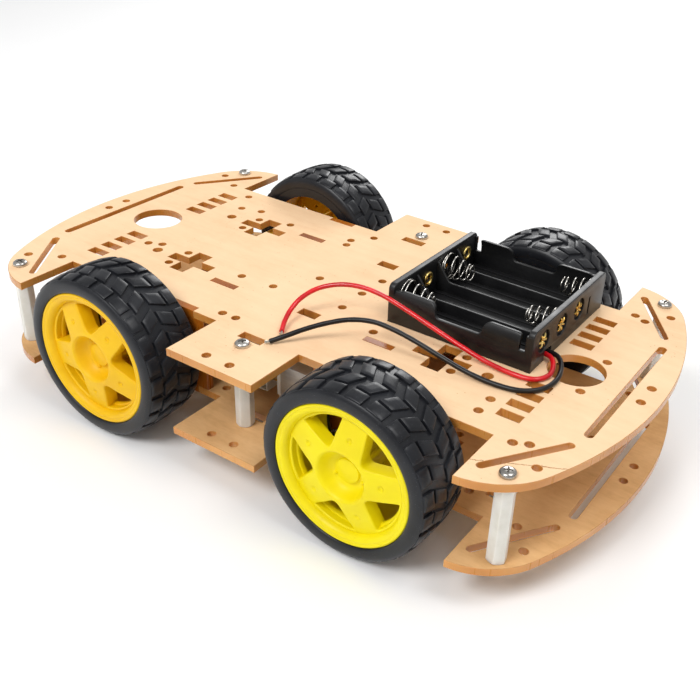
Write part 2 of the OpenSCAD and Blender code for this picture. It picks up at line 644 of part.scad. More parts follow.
upper_deck();
lower_deck();
standoffs();
standoff_screws();
motor_brackets();
bracket_bolts();
bracket_nuts();
gearbox_screws();
gear_pins();
motor_end_caps();
motor_magnets();
motor_straps();
motor_terminals();
gearbox_outer_fr();
gearbox_inner_fr();
motor_can_fr();
rotor_fr();
crown_gear_fr();
middle_gear_fr();
third_gear_fr();
output_shaft_fr();
rim_fr();
tyre_fr();
gearbox_outer_fl();
gearbox_inner_fl();
motor_can_fl();
rotor_fl();
crown_gear_fl();
middle_gear_fl();
third_gear_fl();
output_shaft_fl();
rim_fl();
tyre_fl();
gearbox_outer_rr();
gearbox_inner_rr();
motor_can_rr();
rotor_rr();
crown_gear_rr();
middle_gear_rr();
third_gear_rr();
output_shaft_rr();
rim_rr();
tyre_rr();
gearbox_outer_rl();
gearbox_inner_rl();
motor_can_rl();
rotor_rl();
crown_gear_rl();
middle_gear_rl();
third_gear_rl();
output_shaft_rl();
rim_rl();
tyre_rl();
battery_holder();
battery_springs();
battery_eyelets();
holder_tape();
red_lead();
black_lead();
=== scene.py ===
import math

import bmesh
import bpy
from mathutils import Matrix, Vector
from mathutils.geometry import tessellate_polygon


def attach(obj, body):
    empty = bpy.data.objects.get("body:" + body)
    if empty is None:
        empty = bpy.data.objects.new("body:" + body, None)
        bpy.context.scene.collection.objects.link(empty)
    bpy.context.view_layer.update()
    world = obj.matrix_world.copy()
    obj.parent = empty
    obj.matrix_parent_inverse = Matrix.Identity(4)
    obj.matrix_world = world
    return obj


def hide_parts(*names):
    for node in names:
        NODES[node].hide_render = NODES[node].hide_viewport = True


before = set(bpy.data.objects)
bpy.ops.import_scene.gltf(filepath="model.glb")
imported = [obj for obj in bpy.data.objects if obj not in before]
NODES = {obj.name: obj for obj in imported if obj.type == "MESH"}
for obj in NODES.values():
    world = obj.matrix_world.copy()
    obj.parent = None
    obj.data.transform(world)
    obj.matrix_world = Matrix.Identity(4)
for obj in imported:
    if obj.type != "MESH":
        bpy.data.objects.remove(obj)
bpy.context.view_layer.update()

MM = 0.001
PI = math.pi
X, Y, Z = Vector((1, 0, 0)), Vector((0, 1, 0)), Vector((0, 0, 1))

# the chassis, in millimetres: sheets, the gap between the decks, axles and wheels
SHEET_T, DECK_GAP = 3.0, 30.0
LOW_Z = 14.5
LOW_TOP = LOW_Z + SHEET_T
UP_Z = LOW_TOP + DECK_GAP
UP_TOP = UP_Z + SHEET_T
AXLE_X, AXLE_Z = 57.0, 32.5
TYRE_R, TYRE_W, TYRE_IN = 32.5, 26, 52.8
SPOKES, TREAD_PITCHES = 5, 24
STANDOFFS = [(0, 58.1), (0, -58.1), (108, 65.4), (108, -65.4), (-108, 65.4), (-108, -65.4)]

# the motor brackets: half the decks' waist, how far the plates reach in from it, and their bolts
WAIST, BRACKET_IN = 50.8, 24.8
BOLT_X, BOLT_DZ = AXLE_X - 20.7, 8.75

# the camera: degrees, then millimetres from a point inside the chassis
CAM_AZ, CAM_EL, CAM_ROLL = -31.348, 31.778, 3.586
CAM_TARGET = Vector((0, 0, 30))
CAM_RIGHT, CAM_DOWN, CAM_BACK = 25.723, 12.028, 378.907
CAM_LENS, CAM_SHIFT = 48.371, (-0.0788, 0.0150)


def link(name, data):
    """A new object in the scene."""
    ob = bpy.data.objects.new(name, data)
    bpy.context.scene.collection.objects.link(ob)
    return ob


# ---- camera ------------------------------------------------------------------------------
def make_camera():
    az, el, roll = (math.radians(v) for v in (CAM_AZ, CAM_EL, CAM_ROLL))
    f = Vector((math.sin(az) * math.cos(el), math.cos(az) * math.cos(el), -math.sin(el)))
    level = f.cross(Z).normalized()
    upright = level.cross(f)
    r = level * math.cos(roll) + upright * math.sin(roll)
    u = upright * math.cos(roll) - level * math.sin(roll)
    at = (CAM_TARGET + r * CAM_RIGHT - u * CAM_DOWN - f * CAM_BACK) * MM
    data = bpy.data.cameras.new("camera")
    data.sensor_width, data.lens = 36, CAM_LENS
    data.shift_x, data.shift_y = CAM_SHIFT
    data.clip_start, data.clip_end = 0.01, 50
    cam = link("camera", data)
    cam.matrix_world = Matrix(((r.x, u.x, -f.x, at.x), (r.y, u.y, -f.y, at.y),
                               (r.z, u.z, -f.z, at.z), (0, 0, 0, 1)))
    bpy.context.scene.camera = cam


make_camera()


# ---- mesh helpers, all in millimetres ----------------------------------------------------
def axes(x, y, z, at=(0, 0, 0)):
    """Matrix whose columns are where the drawing's own x, y and z go, about a point."""
    m = Matrix.Identity(4)
    for k in range(3):
        m[k][0], m[k][1], m[k][2], m[k][3] = x[k], y[k], z[k], at[k]
    return m


def to_mesh(bm, name):
    me = bpy.data.meshes.new(name)
    bm.to_mesh(me)
    bm.free()
    return me


def shade(me, mats, angle):
    """Gives a mesh its materials and smooth faces, with edges above an angle kept sharp."""
    for m in mats:
        me.materials.append(m)
    me.polygons.foreach_set("use_smooth", [True] * len(me.polygons))
    me.set_sharp_from_angle(angle=math.radians(angle))
    return me


def solid_mesh(bm, name, mats, angle):
    """bmesh in millimetres to a shaded mesh in metres."""
    bmesh.ops.recalc_face_normals(bm, faces=bm.faces)
    bmesh.ops.scale(bm, vec=(MM, MM, MM), verts=bm.verts)
    return shade(to_mesh(bm, name), mats, angle)


def place(me, name, body, replaces):
    """Mesh in metres to a named piece that rides on a body."""
    ob = link(name, me)
    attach(ob, body)
    if replaces:
        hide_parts(*replaces)
    return ob


def finish_mesh(bm, name, mats, body, replaces, angle):
    """bmesh in millimetres to a named piece that rides on a body."""
    return place(solid_mesh(bm, name, mats, angle), name, body, replaces)


def move_new(bm, m, mark):
    """Moves what was added since mark by matrix m."""
    if m is not None:
        bm.verts.ensure_lookup_table()
        bmesh.ops.transform(bm, matrix=m, verts=list(bm.verts)[mark:])


def add_mesh(bm, me, m):
    """Adds a copy of a mesh, moved by matrix m."""
    mark = len(bm.verts)
    bm.from_mesh(me)
    move_new(bm, m, mark)


def skin(bm, p, q, mat=0):
    """Faces between two rings of vertices, triangles where one of them is a single point."""
    for i in range(len(p)):
        j = (i + 1) % len(p)
        corners = list(dict.fromkeys((p[i], p[j], q[j], q[i])))
        if len(corners) > 2:
            bm.faces.new(corners).material_index = mat


def circle(x, y, r, n=24, hole=True):
    """Circle as a loop, clockwise when it is a hole."""
    pts = [(x + r * math.cos(2 * PI * i / n), y + r * math.sin(2 * PI * i / n)) for i in range(n)]
    return pts[::-1] if hole else pts


def arc(cx, cy, r, a0, a1, n):
    """Points on an arc between two angles in degrees."""
    angles = [math.radians(a0 + (a1 - a0) * i / n) for i in range(n + 1)]
    return [(cx + r * math.cos(a), cy + r * math.sin(a)) for a in angles]


def rect(x0, y0, x1, y1, r=0.0):
    """Rectangle, anticlockwise, with its corners cut round when a radius is given."""
    if r <= 0:
        return [(x0, y0), (x1, y0), (x1, y1), (x0, y1)]
    corners = ((x1 - r, y0 + r, -90), (x1 - r, y1 - r, 0), (x0 + r, y1 - r, 90), (x0 + r, y0 + r, 180))
    return [p for cx, cy, a in corners for p in arc(cx, cy, r, a, a + 90, 2)]


def lathe(bm, prof, n, m=None, closed=False):
    """Turns a profile of (radius, height) about z; a closed one joins its last point to its first."""
    mark = len(bm.verts)
    rings = []
    for r, h in prof:
        if r < 1e-6:
            rings.append([bm.verts.new((0, 0, h))] * n)
        else:
            rings.append([bm.verts.new((x, y, h)) for x, y in circle(0, 0, r, n, False)])
    for p, q in zip(rings, rings[1:] + rings[:1] if closed else rings[1:]):
        skin(bm, p, q)
    move_new(bm, m, mark)


def inset(loop, d):
    """Moves a loop that has its material on the left inwards by d."""
    out, n = [], len(loop)
    for i in range(n):
        a, p, b = Vector(loop[i - 1]), Vector(loop[i]), Vector(loop[(i + 1) % n])
        u, v = (p - a).normalized(), (b - p).normalized()
        nu, nv = Vector((-u.y, u.x)), Vector((-v.y, v.x))
        out.append(tuple(p + (nu + nv) / max(0.35, 1 + nu.dot(nv)) * d))
    return out


def plate(bm, loops, stack, m=None, bands=None):
    """Flat sheet from loops (outer one anticlockwise, holes clockwise). stack is a list of
    (inset, height) from the bottom to the top; bands are the materials of the walls between."""
    mark = len(bm.verts)
    rings = [[[bm.verts.new((x, y, h)) for x, y in inset(lp, d)] for lp in loops]
             for d, h in stack]
    for k, mat in enumerate(bands or [0] * (len(stack) - 1)):
        for p, q in zip(rings[k], rings[k + 1]):
            skin(bm, p, q, mat)
    for ring in (rings[0], rings[-1]):
        flat = [v for lp in ring for v in lp]
        for t in tessellate_polygon([[Vector((v.co.x, v.co.y, 0)) for v in lp] for lp in ring]):
            bm.faces.new([flat[i] for i in t])
    move_new(bm, m, mark)


def rounding(b, n):
    """(inset, rise) along a quarter round of radius b."""
    return [(b * (1 - math.sin(PI / 2 * i / n)), b * (1 - math.cos(PI / 2 * i / n)))
            for i in range(n + 1)]


def soft_foot(t, b, n=3):
    """The start of a stack, with a rounded rim."""
    return [(d, t + e) for d, e in rounding(b, n)]


def soft_top(t, b, n=3):
    """The end of a stack, with a rounded rim."""
    return [(d, t - e) for d, e in reversed(rounding(b, n))]


def soft(t0, t1, b, n=3):
    """A whole stack with both rims rounded."""
    return soft_foot(t0, b, n) + soft_top(t1, b, n)


def block(bm, lo, hi, m=None):
    """A box with softened edges."""
    b = 0.2
    plate(bm, [rect(lo[0], lo[1], hi[0], hi[1], b)], soft(lo[2], hi[2], b, 2), m)


def frames(pts):
    """Tangent, side and up at each point of a path, without twist."""
    out, side = [], None
    for i, p in enumerate(pts):
        t = (pts[min(i + 1, len(pts) - 1)] - pts[max(i - 1, 0)]).normalized()
        if side is None:
            side = t.cross(Z if abs(t.z) < 0.9 else X).normalized()
        side = (side - t * side.dot(t)).normalized()
        out.append((t, side, side.cross(t)))
    return out


def tube(bm, pts, r, n, m=None):
    """Round tube along pts; r is a radius or a function of the share of the way along."""
    mark = len(bm.verts)
    rings = []
    for i, (p, (_, s, u)) in enumerate(zip(pts, frames(pts))):
        rr = r(i / (len(pts) - 1)) if callable(r) else r
        rings.append([bm.verts.new(p + (s * math.cos(2 * PI * k / n) + u * math.sin(2 * PI * k / n)) * rr)
                      for k in range(n)])
    for p, q in zip(rings, rings[1:]):
        skin(bm, p, q)
    bm.faces.new(rings[0])
    bm.faces.new(rings[-1])
    move_new(bm, m, mark)


def prism(bm, af, h, bore, chamfer, m, round_r=None):
    """Hexagon bar or nut, af across its flats, with turned chamfers and a round bore."""
    mark, n = len(bm.verts), 72
    face = af / 2 * 0.96
    rings = [[] for _ in range(6)]
    for i in range(n):
        a = 2 * PI * i / n
        hexr = af / 2 / math.cos((a + PI / 6) % (PI / 3) - PI / 6)
        if round_r:
            hexr = min(hexr, round_r)
        cut = max(0.0, hexr - face) * chamfer
        for ring, r, z in zip(rings, (bore, face, hexr, hexr, face, bore), (0, 0, cut, h - cut, h, h)):
            ring.append(bm.verts.new((r * math.cos(a), r * math.sin(a), z)))
    for p, q in zip(rings, rings[1:] + rings[:1]):
        skin(bm, p, q)
    move_new(bm, m, mark)


def thread(bm, m, r, z0, z1):
    """Threaded rod: a helical groove turned into the surface."""
    mark, n, pitch, depth = len(bm.verts), 20, 0.5, 0.16
    steps = int(abs(z1 - z0) / (pitch / 4))
    rings = []
    for k in range(steps + 1):
        z = z0 + (z1 - z0) * k / steps
        ring = []
        for i in range(n):
            w = r - depth * (0.5 + 0.5 * math.cos(2 * PI * (z / pitch - i / n)))
            ring.append(bm.verts.new((math.cos(2 * PI * i / n) * w, math.sin(2 * PI * i / n) * w, z)))
        rings.append(ring)
    for p, q in zip(rings, rings[1:]):
        skin(bm, p, q)
    bm.faces.new(rings[0])
    bm.faces.new(rings[-1])
    move_new(bm, m, mark)


# ---- materials ---------------------------------------------------------------------------
def rgb(h):
    """Hex sRGB colour as linear."""
    v = [int(h[i:i + 2], 16) / 255 for i in (0, 2, 4)]
    return tuple(c / 12.92 if c < 0.04045 else ((c + 0.055) / 1.055) ** 2.4 for c in v) + (1,)


class Mat:
    """A principled material; its inputs take values or the outputs of the nodes made here."""

    def __init__(self, name, **ins):
        self.m = bpy.data.materials.new(name)
        self.m.use_nodes = True
        self.t = self.m.node_tree
        self.t.nodes.clear()
        out = self.new("OutputMaterial")
        self.p = self.new("BsdfPrincipled")
        self.t.links.new(self.p.outputs[0], out.inputs[0])
        self.set(**ins)
        self.co = self.new("TexCoord").outputs["Object"]

    def new(self, kind):
        return self.t.nodes.new("ShaderNode" + kind)

    def put(self, socket, v):
        if isinstance(v, bpy.types.NodeSocket):
            self.t.links.new(v, socket)
        else:
            socket.default_value = v

    def set(self, **ins):
        """Inputs of the principled shader, with _ for a blank in a name."""
        for k, v in ins.items():
            self.put(self.p.inputs[k.replace("_", " ")], v)

    def vec(self, scale, rot=(0, 0, 0)):
        n = self.new("Mapping")
        self.put(n.inputs["Vector"], self.co)
        n.inputs["Scale"].default_value = scale
        n.inputs["Rotation"].default_value = rot
        return n.outputs[0]

    def noise(self, scale, detail, rough=0.55, vec=None):
        n = self.new("TexNoise")
        self.put(n.inputs["Vector"], vec or self.co)
        for k, v in (("Scale", scale), ("Detail", detail), ("Roughness", rough)):
            n.inputs[k].default_value = v
        return n.outputs[0]

    def voronoi(self, scale):
        n = self.new("TexVoronoi")
        self.put(n.inputs["Vector"], self.co)
        n.inputs["Scale"].default_value = scale
        return n.outputs["Distance"]

    def math(self, op, a, b=0.0, c=0.0):
        n = self.new("Math")
        n.operation = op
        for s, v in zip(n.inputs, (a, b, c)):
            self.put(s, v)
        return n.outputs[0]

    def span(self, v, a, b, lo=0.0, hi=1.0):
        """Maps a value from a to b onto lo to hi."""
        n = self.new("MapRange")
        self.put(n.inputs[0], v)
        for k, x in zip((1, 2, 3, 4), (a, b, lo, hi)):
            n.inputs[k].default_value = x
        return n.outputs[0]

    def xy(self):
        """The object's own x and y, in metres."""
        n = self.new("SeparateXYZ")
        self.put(n.inputs[0], self.co)
        return n.outputs[0], n.outputs[1]

    def ramp(self, v, stops):
        n = self.new("ValToRGB")
        self.put(n.inputs[0], v)
        e = n.color_ramp.elements
        while len(e) < len(stops):
            e.new(0.5)
        for k, (pos, col) in zip(e, stops):
            k.position, k.color = pos, rgb(col)
        return n.outputs[0]

    def mix(self, f, a, b):
        """From colour a to colour b, each a hex string or an output."""
        n = self.new("Mix")
        n.data_type = "RGBA"
        a, b = (rgb(v) if isinstance(v, str) else v for v in (a, b))
        for s, v in ((n.inputs[0], f), (n.inputs[6], a), (n.inputs[7], b)):
            self.put(s, v)
        return n.outputs[2]

    def bump(self, height, dist_mm, strength):
        n = self.new("Bump")
        self.put(n.inputs["Height"], height)
        n.inputs["Strength"].default_value = strength
        n.inputs["Distance"].default_value = dist_mm * MM
        self.set(Normal=n.outputs[0])


def paper_mat(name, light, mid, dark, tear=False):
    """Tan masking paper stuck on the sheet: soft fibre mottling, small specks, faint streaks."""
    k = Mat(name, Specular_IOR_Level=0.25)
    blot = k.noise(38, 4, 0.6)
    fibre = k.noise(900, 3, 0.7, k.vec((0.35, 1, 1)))
    streak = k.noise(60, 3, 0.6, k.vec((0.25, 3, 1), (0, 0, 0.2)))
    tone = k.math("MULTIPLY_ADD", streak, 0.35, k.math("MULTIPLY", blot, 0.5))
    tone = k.math("MULTIPLY_ADD", fibre, 0.25, tone)
    col = k.ramp(tone, [(0.4, dark), (0.54, mid), (0.7, light)])
    speck = k.math("LESS_THAN", k.voronoi(420), 0.10)
    gate = k.math("GREATER_THAN", k.noise(70, 2), 0.56)
    col = k.mix(k.math("MULTIPLY", k.math("MULTIPLY", speck, gate), 0.45), col, "a8743c")
    if tear:
        # a jagged tear in the paper across the +X -Y corner: slope, place, width and start in metres
        slope, offset, half_width, start = -0.527, 0.1162, 0.00022, 0.0945
        x, y = k.xy()
        jag = k.math("MULTIPLY_ADD", k.noise(420, 3, 0.7), 0.0018, -0.0009)
        line = k.math("ADD", k.math("MULTIPLY_ADD", x, slope, y), k.math("ADD", jag, offset))
        near = k.math("LESS_THAN", k.math("ABSOLUTE", line), half_width)
        torn = k.math("MULTIPLY", near, k.math("GREATER_THAN", x, start))
        col = k.mix(k.math("MULTIPLY", torn, 0.7), col, "8a5a24")
    k.set(Base_Color=col, Roughness=k.span(fibre, 0.3, 0.7, 0.72, 0.9))
    k.bump(k.math("MULTIPLY_ADD", fibre, 0.5, blot), 0.05, 0.35)
    return k.m


def acrylic_mat(name, light, mid, dark):
    """Laser cut edge of the amber sheet: faint upright striations over warm depth."""
    k = Mat(name, IOR=1.49, Coat_Weight=0.15, Coat_Roughness=0.15, Subsurface_Weight=0.25,
            Subsurface_Radius=(1.0, 0.5, 0.2), Subsurface_Scale=0.002)
    cut = k.noise(700, 2, 0.6, k.vec((1, 1, 0.05)))
    broad = k.noise(40, 1, 0.4)
    tone = k.math("MULTIPLY_ADD", cut, 0.02, k.math("MULTIPLY", broad, 0.98))
    col = k.ramp(tone, [(0.34, dark), (0.5, mid), (0.68, light)])
    k.set(Base_Color=col, Roughness=k.span(cut, 0.3, 0.7, 0.27, 0.3))
    k.bump(cut, 0.001, 0.05)
    return k.m


def plastic_mat(name, light, dark, rough, grain, bump, coat=0.0, sss=None, blot=60, spec=0.5):
    """Moulded plastic with soft tone drift, a fine grain and handling marks."""
    k = Mat(name, Specular_IOR_Level=spec, Coat_Weight=coat, Coat_Roughness=0.12)
    if sss:
        k.set(Subsurface_Weight=sss[0], Subsurface_Radius=sss[1], Subsurface_Scale=sss[2])
    drift = k.noise(blot, 4, 0.6)
    fine = k.noise(grain, 2, 0.5)
    scuff = k.noise(240, 5, 0.7, k.vec((1, 0.25, 1), (0.3, 0.2, 0.5)))
    k.set(Base_Color=k.mix(k.span(drift, 0.35, 0.68), dark, light),
          Roughness=k.math("ADD", k.span(drift, 0.3, 0.7, rough[0], rough[1]),
                           k.span(scuff, 0.6, 0.8, 0.0, 0.12)))
    k.bump(k.math("MULTIPLY_ADD", scuff, 0.3, fine), bump, 0.5)
    return k.m


def metal_mat(name, light, dark, rough, stretch=(1, 1, 1), scale=700):
    """Plated or bare metal with fine brushing and dull patches."""
    k = Mat(name, Metallic=1.0)
    brush = k.noise(scale, 4, 0.7, k.vec(stretch))
    patch = k.noise(60, 4, 0.6)
    tone = k.span(k.math("MULTIPLY_ADD", brush, 0.4, patch), 0.5, 0.9)
    k.set(Base_Color=k.mix(tone, dark, light),
          Roughness=k.math("ADD", k.span(patch, 0.3, 0.75, rough[0], rough[1]),
                           k.math("MULTIPLY", brush, 0.1)))
    k.bump(brush, 0.01, 0.35)
    return k.m


def rubber_mat(name, light, dark):
    """Black rubber: uneven bloom, mould texture and a dull shine on the raised parts."""
    k = Mat(name, Specular_IOR_Level=0.34, Sheen_Weight=0.03)
    drift = k.noise(70, 5, 0.65)
    fine = k.noise(1300, 3, 0.6)
    dust = k.math("MULTIPLY", k.math("GREATER_THAN", k.noise(2600, 1), 0.72), 0.25)
    col = k.mix(dust, k.mix(k.span(drift, 0.35, 0.7), dark, light), "6a6a70")
    shine = k.math("MULTIPLY_ADD", fine, 0.3, drift)
    k.set(Base_Color=col, Roughness=k.span(shine, 0.45, 0.95, 0.28, 0.44))
    k.bump(k.math("MULTIPLY_ADD", fine, 0.8, drift), 0.03, 0.45)
    return k.m


PAPER = paper_mat("paper_upper", "f2d0a8", "eec9a0", "e8c096", True)
# the lower deck wears the same tan paper as the upper deck, painted darker: painted shade from the upper
# deck above it
PAPER_LOW_SHADED = paper_mat("paper_lower_shaded", "e3b984", "d8ab76", "c89a64")
EDGE = acrylic_mat("acrylic_edge", "d89d56", "cb8a42", "bc7a32")
# bare amber of the bracket plates: the sheet's own colour, painted deeper than the cut edges as painted
# shade between the decks
AMBER_BARE_SHADED = acrylic_mat("acrylic_bare_shaded", "b4681c", "a05812", "8a480c")
LIP = plastic_mat("cut_lip", "d2a068", "b07c42", (0.5, 0.7), 900, 0.02, blot=300)
NYLON = plastic_mat("nylon_white", "ebe8e0", "d6d2c7", (0.32, 0.45), 1200, 0.01, 0.1,
                    (0.6, (1, 1, 0.9), 0.004))
GEARS = plastic_mat("gear_nylon", "f0efe8", "dcdad0", (0.35, 0.5), 1500, 0.01, 0.0,
                    (0.3, (1, 1, 0.9), 0.002))
# the rims are one yellow plastic in two copies: the front one painted lighter and greener as lit, the
# rear one deeper and more orange as painted shade
RIM_PLASTIC_LIT = plastic_mat("rim_plastic_lit", "f2e206", "ead602", (0.38, 0.5), 1700, 0.008, spec=0.3)
RIM_PLASTIC_SHADED = plastic_mat("rim_plastic_shaded", "f0c206", "e8b602", (0.38, 0.5), 1700, 0.008, spec=0.3)
GEARBOX = plastic_mat("gearbox_yellow", "f5d20c", "dfb400", (0.3, 0.45), 1100, 0.02, 0.1,
                      (0.2, (1, 0.8, 0.15), 0.002))
BLACK = plastic_mat("holder_black", "151516", "0c0c0e", (0.34, 0.48), 900, 0.015, blot=90)
# near-black rubber; its faint blue cast is a painted cool reflection off the tread
RUBBER = rubber_mat("tyre_rubber", "202227", "131418")
NICKEL = metal_mat("nickel_screw", "d9d6d0", "8f8b86", (0.16, 0.34))
STEEL = metal_mat("zinc_steel", "c9c9c6", "96969a", (0.24, 0.4), (0.08, 1, 1), 900)
SPRING = metal_mat("spring_nickel", "e6e4de", "a9a49c", (0.12, 0.26))
BRASS = metal_mat("brass", "f6dc8c", "cfa24c", (0.14, 0.28))
COPPER = metal_mat("rotor_copper", "c07a48", "7d4326", (0.25, 0.45), (1, 9, 1))
TINNED = metal_mat("tinned_strand", "e0dcd2", "a39a8c", (0.2, 0.38))
FERRITE = plastic_mat("ferrite", "3a3b40", "26272b", (0.55, 0.75), 900, 0.03)
STRAP = plastic_mat("strap_plastic", "e9e6dc", "cfcabc", (0.25, 0.4), 900, 0.015, 0.1,
                    (0.2, (1, 1, 0.9), 0.002))
FOAM = plastic_mat("tape_foam", "d8d6cf", "bcb9b0", (0.75, 0.95), 700, 0.12)
RED = plastic_mat("lead_red", "e4121e", "be0a16", (0.26, 0.36), 900, 0.012, 0.2,
                  (0.15, (1, 0.2, 0.15), 0.001), 120)
DARK = plastic_mat("lead_black", "141112", "0b090a", (0.3, 0.42), 900, 0.012, blot=120, spec=0.4)

# ---- free leads: x, y and the height over the upper deck -------------------------------------
RED_ROUTE = [(84.8, -0.2, 2.2), (88, -0.3, 2.2), (91.2, -1.6, 2), (93.6, -5.6, 1.4),
             (94.6, -11, 1.1), (91.6, -16.2, 1.1), (84, -17.6, 1.1), (74, -16.8, 1.4),
             (64, -16, 3), (52, -15.4, 5.8), (40, -15.2, 9), (30, -15.2, 11.4),
             (21, -16, 12.4), (12.6, -18.2, 11.8), (5.8, -22.4, 9.8), (2.4, -28, 7.2),
             (1.8, -33.4, 4.6), (3.2, -39, 2.4), (5.6, -43.6, 1.1)]
BLACK_ROUTE = [(84.8, 2.0, 2.2), (88.6, 1.9, 2.2), (93, 0.4, 2), (96.4, -5, 1.4),
               (98, -12.6, 1.1), (96.4, -20, 1.1), (91, -25.2, 1.1), (82, -27, 1.1),
               (72, -27.2, 1.8), (61, -26.8, 3.6), (51, -26.8, 5.8), (42, -27.4, 7.6),
               (34.4, -28.8, 8.6), (27, -32.2, 8.3), (20.6, -37, 6.8), (15, -42.4, 4.8),
               (10.6, -47.6, 2.8), (6.8, -51.6, 1.1)]
LEAD_R, STRANDS, STRAND_R, STRAND_OUT = 0.9, 5, 0.19, 1.8


def smooth(route, k):
    """A curve through the points of a route on the upper deck, k steps from one to the next."""
    p = [Vector((x, y, z + UP_TOP)) for x, y, z in route]
    out = []
    for i in range(len(p) - 1):
        a, b, c, d = p[max(i - 1, 0)], p[i], p[i + 1], p[min(i + 2, len(p) - 1)]
        for j in range(k):
            t = j / k
            out.append(0.5 * (2 * b + (c - a) * t + (2 * a - 5 * b + 4 * c - d) * t * t
                              + (3 * b - a - 3 * c + d) * t ** 3))
    return out + [p[-1]]


def strand_mesh(end):
    """Bare wires twisted round the path of the lead's end, spreading a little."""
    bm = bmesh.new()
    twist, core, spread = 0.7, 0.32, 0.05
    for s in range(STRANDS):
        line = []
        for i, (p, (_, a, b)) in enumerate(zip(end, frames(end))):
            w = 2 * PI * s / STRANDS + i * twist
            out = core + spread * s * i / len(end)
            line.append(p + (a * math.cos(w) + b * math.sin(w)) * out)
        tube(bm, line, STRAND_R, 6)
    return bm


def make_lead(name, route, mat, node):
    body = smooth(route, 6)
    on = (body[-1] - body[-2]).normalized()
    on.z = -0.15
    end = body[-2:] + [body[-1] + on * (STRAND_OUT * k / 3) for k in (1, 2, 3)]
    bm = bmesh.new()
    tube(bm, body, lambda t: LEAD_R + 0.02 * math.sin(160 * t), 14)
    lead = finish_mesh(bm, name, [mat], "chassis", [node], 40)
    tip = finish_mesh(strand_mesh(end), name + "_strands", [TINNED], "chassis", (), 50)
    length = sum((b - a).length for a, b in zip(body, body[1:])) * MM
    [v * MM for v in body[0]]
    [[v * MM for v in p] for p in body]


make_lead("red_battery_lead", RED_ROUTE, RED, "red_lead")
make_lead("black_battery_lead", BLACK_ROUTE, DARK, "black_lead")


# ---- decks and brackets ----------------------------------------------------------------------
def outline(node):
    """Closed loops of a flat node's top face, in millimetres, with the material on the left."""
    me = NODES[node].data
    top = max(v.co.z for v in me.vertices)
    edges = set()
    for poly in me.polygons:
        cs = [me.vertices[i].co for i in poly.vertices]
        if all(abs(c.z - top) < 1e-6 for c in cs):
            # whole micrometres, so that corners of neighbouring faces are the same key
            ks = [(round(c.x * 1e6), round(c.y * 1e6)) for c in cs]
            edges.update(zip(ks, ks[1:] + ks[:1]))
    border = {a: b for a, b in edges if (b, a) not in edges}
    loops = []
    while border:
        loop = [min(border)]
        nxt = border.pop(loop[0])
        while nxt != loop[0]:
            loop.append(nxt)
            nxt = border.pop(nxt)
        loops.append([(x / 1000, y / 1000) for x, y in loop])
    return loops


def sheet_stack(z0, z1):
    """A cut sheet: its rims drawn in over the thickness of the paper, the wall in three bands."""
    draw, paper, band = 0.16, 0.1, 0.45
    return [(draw, z0), (0.0, z0 + paper), (0.0, z0 + band),
            (0.0, z1 - band), (0.0, z1 - paper), (draw, z1)]


# paper on the faces, browned lips at both rims and bare acrylic on the wall; the lower deck's paper is
# painted darker, as painted shade under the upper deck
for name, z0, z1, mat in (("upper_deck", UP_Z, UP_TOP, PAPER),
                          ("lower_deck", LOW_Z, LOW_TOP, PAPER_LOW_SHADED)):
    bm = bmesh.new()
    plate(bm, outline(name), sheet_stack(z0, z1), bands=[2, 1, 1, 1, 2])
    finish_mesh(bm, name + "_sheet", [mat, EDGE, LIP], "chassis", [name], 25)

# bracket plates: two at each motor, one on each side of the gearbox
CORNERS = [(sx, sy) for sx in (-1, 1) for sy in (-1, 1)]
T_SHAPE = [(-6, -18), (6, -18), (6, -15), (11, -15), (11, 15), (6, 15), (6, 18), (-6, 18),
           (-6, 15), (-11, 15), (-11, -15), (-6, -15)]
T_LOOPS = [T_SHAPE, circle(0, BOLT_DZ, 1.6), circle(0, -BOLT_DZ, 1.6)]
bm = bmesh.new()
for sx, sy in CORNERS:
    for y in (WAIST - SHEET_T / 2, WAIST - BRACKET_IN + SHEET_T / 2):
        plate(bm, T_LOOPS, sheet_stack(-SHEET_T / 2, SHEET_T / 2),
              axes(X, Z, -Y, (sx * BOLT_X, sy * y, AXLE_Z)))
# the plates wear the bare amber painted darker as shade in the space between the decks
finish_mesh(bm, "motor_bracket_plates", [AMBER_BARE_SHADED], "chassis",
            ["motor_brackets"], 25)

# ---- standoffs and fasteners -------------------------------------------------------------------
bm = bmesh.new()
for x, y in STANDOFFS:
    m = Matrix.Translation((x, y, LOW_TOP)) @ Matrix.Rotation(math.radians(12), 4, "Z")
    prism(bm, 6.0, DECK_GAP, 1.53, 0.8, m, round_r=3.42)
finish_mesh(bm, "nylon_standoffs", [NYLON], "chassis", ["standoffs"], 28)


